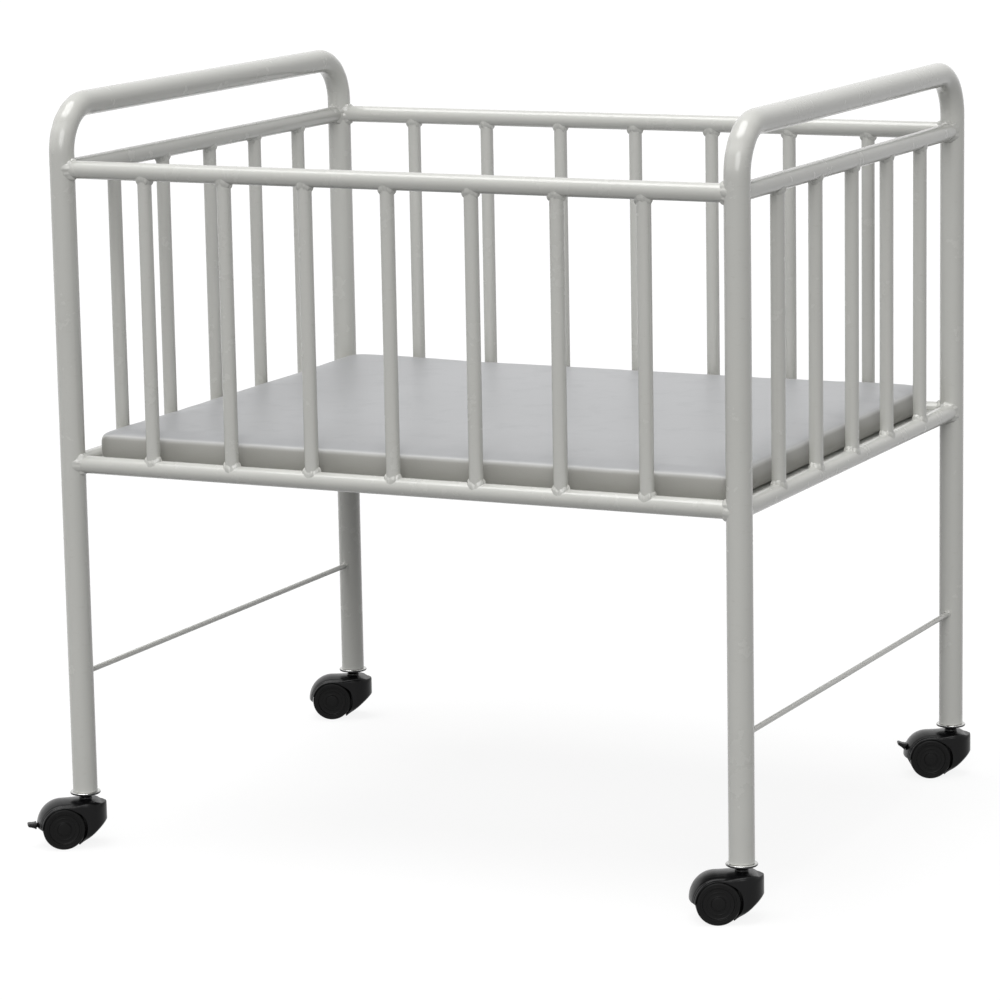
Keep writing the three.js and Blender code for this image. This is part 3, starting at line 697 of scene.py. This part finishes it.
# Lever: a rounded-square section |y/w|^4 + |h/t|^4 = 1 carried out from the axle, its width and thickness
# and its droop set by the distance, then turned to its angle
def castorLever(corner):
    shape = leverShape
    out = np.concatenate([np.linspace(shape["start"], shape["armEnd"], shape["armPoints"]),
                          np.linspace(shape["pedalStart"], shape["end"], shape["pedalPoints"])])[:, None]
    pedal = smoothStep(*shape["root"], out)
    past = out - shape["rootEnd"]
    tipShare = np.clip((out - shape["end"]) / shape["tipRound"] + 1, 0, 1)
    tip = np.sqrt(np.clip(1 - tipShare ** 2, shape["tipLeast"], 1))
    half = shape["armHalf"] + (shape["pedalHalf"] - shape["armHalf"]) * pedal
    half = half * (1 - shape["tipNarrowing"] * (1 - tip))
    swell = shape["rootSwell"] * np.exp(-np.clip(past, 0, None) / shape["rootFade"])
    thick = (shape["armThick"] + pedal * (swell + shape["pedalThick"] - shape["armThick"])) * tip
    sag = pedal * (shape["rib"] * np.sin(out * shape["ribRate"]) - shape["droop"] * past)
    loop = anglesRound(shape["around"])[None, :]
    cosine, sine = np.cos(loop), np.sin(loop)
    y = half * np.sign(cosine) * np.abs(cosine) ** 0.5
    h = thick * np.sign(sine) * np.abs(sine) ** 0.5 + sag
    angle = math.radians(leverAngle[corner])
    points = np.stack([out * math.cos(angle) - h * math.sin(angle) - castorShape["trail"], y,
                       out * math.sin(angle) + h * math.cos(angle) + castorShape["wheelRadius"]], axis=2)
    makePiece(f"{corner}_lever", placed(corner, points), loftFaces(*points.shape[:2]), f"{corner}_lever",
              hoodPlastic, [f"{corner}_brake_lever"], shape["sharpAngle"])


def repaint(node, material):
    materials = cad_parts[node].data.materials
    materials.clear()
    materials.append(material)


# below this drop from the flange's top, the edge is painted near black as a painted dark reflection, and all
# under it as painted shade
paintedDarkDrop = 0.5  # bright rim left at the top of the flange
stemSteel = steelMaterial("stemSteel", (stemShape["flangeTop"] - paintedDarkDrop) * mm)
axleSteel = steelMaterial("axleSteel")
for corner in corners:
    castorStem(corner, stemSteel)
    castorHood(corner)
    castorWheel(corner, 1)
    castorWheel(corner, -1)
    if corner in leverAngle:
        castorLever(corner)
    repaint(f"{corner}_castor_axle", axleSteel)
repaint("mattress_deck", deckEnamel)
print("castors made")


# Mattress: foam in a smooth coated cover, blown up a little by a cloth simulation
# sideFrom and sideFull: where the painted shade on the sides sets in and is full; rimAt, rimWidth and
# rimAmount: place, width and strength of the painted highlight on the rounded edge
mattressLook = {"inset": 2.0 * mm, "cornerRadius": 11 * mm, "edgeRadius": 6 * mm, "seat": 0.1 * mm,
                "crownRoom": 4.0 * mm, "around": 240, "edgePoints": 6, "voxel": 6 * mm,
                "sideFrom": 0.8, "sideFull": 0.35, "rimAt": 0.62, "rimWidth": 0.2, "rimAmount": 0.8}


# rounded-square plan times rounded edge: plan corner arcs shrink by the edge's quarter round
def mattressStart(low, high):
    look, edge = mattressLook, mattressLook["edgeRadius"]
    around = anglesRound(look["around"])
    halfX, halfY = (high[0] - low[0]) / 2 - look["inset"], (high[1] - low[1]) / 2 - look["inset"]
    bottom, top = low[2] + look["seat"], high[2] - look["crownRoom"]
    turn = np.linspace(0, math.pi / 2, look["edgePoints"])
    toMiddle = max(halfX, halfY)  # shrinks the first and last ring to a point each, which closes the ends
    opening, closing = edge * (1 - np.sin(turn)), edge * (1 - np.cos(turn))
    inset = np.concatenate([[toMiddle], opening, closing, [toMiddle]])
    height = np.concatenate([[bottom], bottom + closing, top - opening, [top]])
    quarter = np.floor(around / (math.pi / 2) + tiny).astype(int) % 4
    signX, signY = np.array([[1, 1], [-1, 1], [-1, -1], [1, -1]])[quarter].T
    rings = []
    for shrink, z in zip(inset, height):
        corner = max(look["cornerRadius"] - shrink, 0.0)
        reachX, reachY = max(halfX - shrink - corner, 0.0), max(halfY - shrink - corner, 0.0)
        x, y = signX * reachX + corner * np.cos(around), signY * reachY + corner * np.sin(around)
        rings.append(np.stack([x, y, np.full_like(around, z)], axis=1))
    points = np.stack(rings)
    points[:, :, 0] += (low[0] + high[0]) / 2
    points[:, :, 1] += (low[1] + high[1]) / 2
    return points


clothLook = {"pressure": 4.0, "quality": 5, "mass": 0.3, "stretch": 25, "shear": 8, "bending": 4,
             "frames": 20, "cap": 4.0 * mm}


# simulated = start + movement, the movement capped in length and kept inside the space that the pad has
def blowUp(piece, low, high):
    look = clothLook
    count = len(piece.data.vertices)
    start, moved = np.empty(count * 3), np.empty(count * 3)
    piece.data.vertices.foreach_get("co", start)
    cloth = piece.modifiers.new("cloth", "CLOTH")
    settings = cloth.settings
    settings.quality = look["quality"]
    settings.mass = look["mass"]
    settings.tension_stiffness = settings.compression_stiffness = look["stretch"]
    settings.shear_stiffness = look["shear"]
    settings.bending_stiffness = look["bending"]
    settings.use_pressure = True
    settings.uniform_pressure_force = look["pressure"]
    settings.effector_weights.gravity = 0
    cloth.collision_settings.use_collision = False
    cloth.point_cache.frame_start, cloth.point_cache.frame_end = 1, look["frames"]
    for step in range(1, look["frames"] + 1):
        scene.frame_set(step)
    evaluated = piece.evaluated_get(bpy.context.evaluated_depsgraph_get())
    evaluated.data.vertices.foreach_get("co", moved)
    piece.modifiers.remove(cloth)
    scene.frame_set(1)
    start, moved = start.reshape(-1, 3), moved.reshape(-1, 3)
    movement = moved - start
    length = np.linalg.norm(movement, axis=1, keepdims=True)
    movement *= np.minimum(1, look["cap"] / np.maximum(length, tiny))
    settled = np.clip(start + movement, np.array(low), np.array(high))
    piece.data.vertices.foreach_set("co", settled.ravel())
    piece.data.update()
    print("mattress blown up, largest movement", round(float(length.max()) / mm, 2), "mm before the cap")


# rim: the paler colour of a painted highlight on the rounded edge between top and sides
coverLook = {"tone": linear(159, 160, 162), "rim": linear(206, 206, 204), "roughness": 0.42,
             "rubbed": 0.2, "drift": 0.05, "rippleScale": 520.0, "ripple": 0.12, "rippleDepth": 3 * mm,
             "gloss": 0.15, "glossRoughness": 0.3, "creaseScale": 9.0, "creaseDetail": 3.0,
             "creaseRoughness": 0.55, "creases": 3.0, "grainScale": 620.0, "grain": 0.25}
# the sides' copy of the cover, a little darker and more olive than the top: painted shade
shadedCoverSide = dict(coverLook, tone=linear(157, 156, 151), rubbed=0.25, drift=0.16, rippleScale=300.0)


# Coated cover: the top, and the sides in painted shade, by the piece's own attribute, with a paler painted
# highlight on the rounded edge between them
def coverMaterial():
    look = coverLook
    material, tree, shader, place = newMaterial("coatedCover", look["tone"], Coat_Weight=look["gloss"],
                                                Coat_Roughness=look["glossRoughness"])
    top, sides = coatNode(tree, place, look), coatNode(tree, place, shadedCoverSide)
    sideShadeMask, edgeHighlightMask = [addNode(tree, "ShaderNodeAttribute", {"attribute_name": label}).outputs["Fac"]
                         for label in ("sideShadeMask", "edgeHighlightMask")]
    # painted shade on the sides
    cover = mixColour(tree, sideShadeMask, top["Color"], sides["Color"])
    # painted highlight on the rounded edge over the cover
    colour = mixColour(tree, edgeHighlightMask, cover, look["rim"])
    # soft creases and a leather-like grain
    creases = noiseNode(tree, place, look["creaseScale"], look["creaseDetail"], look["creaseRoughness"])
    grain = addNode(tree, "ShaderNodeTexVoronoi", {"feature": "SMOOTH_F1"}, Scale=look["grainScale"])
    tree.links.new(place, grain.inputs["Vector"])
    relief = mathNode(tree, "ADD", mathNode(tree, "MULTIPLY", creases, look["creases"]),
                      mathNode(tree, "MULTIPLY", grain.outputs["Distance"], look["grain"]))
    finishShader(tree, shader, colour, top["Roughness"], relief, look)
    return material


def makeMattress():
    look = mattressLook
    low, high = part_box("mattress")
    start = mattressStart(low, high)
    piece = makePiece("mattress_pad", start, loftFaces(*start.shape[:2]), "mattress", coverMaterial(),
                      ["mattress"])
    remesh = piece.modifiers.new("remesh", "REMESH")
    remesh.mode, remesh.voxel_size = "VOXEL", look["voxel"]
    bpy.context.view_layer.objects.active = piece
    bpy.ops.object.modifier_apply(modifier=remesh.name)
    blowUp(piece, low, high)
    smooth = piece.modifiers.new("finer", "SUBSURF")
    smooth.levels = smooth.render_levels = 1
    bpy.ops.object.modifier_apply(modifier=smooth.name)
    mesh = piece.data
    mesh.polygons.foreach_set("use_smooth", np.ones(len(mesh.polygons), bool))
    normals = np.empty(len(mesh.vertices) * 3)
    mesh.vertex_normals.foreach_get("vector", normals)
    upward = normals.reshape(-1, 3)[:, 2]
    # by how far each face points up: painted shade on the sides, a painted highlight on the rounded edge
    # between top and sides
    sideShadeMask = 1 - smoothStep(look["sideFull"], look["sideFrom"], upward)
    edgeHighlightMask = look["rimAmount"] * np.exp(-((upward - look["rimAt"]) / look["rimWidth"]) ** 2)
    for label, values in (("sideShadeMask", sideShadeMask), ("edgeHighlightMask", edgeHighlightMask)):
        attribute = mesh.attributes.new(label, "FLOAT", "POINT")
        attribute.data.foreach_set("value", values.astype(np.float32))
    print("mattress made,", len(mesh.polygons), "faces")


makeMattress()


# Stage: pale floor, white surround, and soft suns, whose spread is in degrees
stageLook = {"size": 60, "floor": (0.14, 0.14, 0.14, 1), "roughness": 0.9, "specular": 0.1, "glow": 0.87,
             "white": (1, 1, 1, 1), "surround": 0.2}
lampLook = {"overhead": {"way": (0.15, 0.1, -1), "energy": 2.2, "spread": 45},
            "front": {"way": (-0.35, 0.85, -0.5), "energy": 1.4, "spread": 40},
            "side": {"way": (0.9, 0.3, -0.4), "energy": 0.25, "spread": 60}}


# 1 for rays from the camera, or by way of gloss or glass, and 0 for light that falls on the object
def seenRays(tree):
    path = tree.nodes.new("ShaderNodeLightPath").outputs
    direct = mathNode(tree, "MAXIMUM", path["Is Camera Ray"], path["Is Glossy Ray"])
    return mathNode(tree, "MAXIMUM", direct, path["Is Transmission Ray"])


# the glow is added only where the floor is seen, so that it keeps the shadow and lights nothing
def makeFloor():
    bpy.ops.mesh.primitive_plane_add(size=stageLook["size"], location=(0, 0, 0))
    floor = bpy.context.object
    floor.name = "floor"
    material = bpy.data.materials.new("paleFloor")
    material.use_nodes = True
    tree = material.node_tree
    shader = tree.nodes["Principled BSDF"]
    setInputs(shader, {"Base_Color": stageLook["floor"], "Roughness": stageLook["roughness"],
                       "Specular_IOR_Level": stageLook["specular"]})
    glow = addNode(tree, "ShaderNodeEmission", Strength=stageLook["glow"])
    both = tree.nodes.new("ShaderNodeAddShader")
    mix = tree.nodes.new("ShaderNodeMixShader")
    tree.links.new(shader.outputs[0], both.inputs[0])
    tree.links.new(glow.outputs[0], both.inputs[1])
    tree.links.new(seenRays(tree), mix.inputs[0])
    tree.links.new(shader.outputs[0], mix.inputs[1])
    tree.links.new(both.outputs[0], mix.inputs[2])
    tree.links.new(mix.outputs[0], tree.nodes["Material Output"].inputs["Surface"])
    floor.data.materials.append(material)


# the surround is white where it is seen, and lights the object with less
def makeSurround():
    world = bpy.data.worlds.new("surround")
    scene.world = world
    world.use_nodes = True
    tree = world.node_tree
    backdrop = tree.nodes["Background"]
    backdrop.inputs["Color"].default_value = stageLook["white"]
    added = mathNode(tree, "MULTIPLY", seenRays(tree), 1 - stageLook["surround"])
    tree.links.new(mathNode(tree, "ADD", added, stageLook["surround"]), backdrop.inputs["Strength"])


def makeLamps():
    for name, look in lampLook.items():
        lamp = bpy.data.lights.new(name, "SUN")
        lamp.energy, lamp.angle = look["energy"], math.radians(look["spread"])
        holder = bpy.data.objects.new(name, lamp)
        scene.collection.objects.link(holder)
        holder.rotation_mode = "QUATERNION"
        holder.rotation_quaternion = Vector(look["way"]).to_track_quat("-Z", "Y")


# angles in radians, lens and sensor in millimetres, the rest in metres, with the aim from the legs' middle
cameraLook = {"azimuth": 0.4484, "elevation": 0.1878, "roll": -0.018, "lens": 149.617, "sensor": 36,
              "distance": 4.5853, "aim": (0.0, 0.0, 0.396), "across": 0.02632, "up": 0.04443,
              "clip": (0.05, 200)}


# camera at the photograph's angle: back from the aim, then rolled and moved across and up in its own plane
def makeCamera():
    look = cameraLook
    azimuth, elevation, roll = look["azimuth"], look["elevation"], look["roll"]
    back = np.array([math.sin(azimuth) * math.cos(elevation), -math.cos(azimuth) * math.cos(elevation),
                     math.sin(elevation)])
    right = np.array([math.cos(azimuth), math.sin(azimuth), 0.0])
    up = np.cross(back, right)
    across = math.cos(roll) * right + math.sin(roll) * up
    upwards = -math.sin(roll) * right + math.cos(roll) * up
    place = np.append(frameMiddle, 0.0) + np.array(look["aim"]) + back * look["distance"]
    place = place - across * look["across"] - upwards * look["up"]
    camera = bpy.data.objects.new("camera", bpy.data.cameras.new("camera"))
    scene.collection.objects.link(camera)
    camera.data.sensor_width, camera.data.lens = look["sensor"], look["lens"]
    camera.data.clip_start, camera.data.clip_end = look["clip"]
    turn = Matrix(np.stack([across, upwards, back], axis=1).tolist())
    camera.matrix_world = Matrix.Translation(Vector(place)) @ turn.to_4x4()
    scene.camera = camera


makeFloor()
makeSurround()
makeLamps()
makeCamera()
scene.view_settings.view_transform = "Standard"
print("stage and camera made")
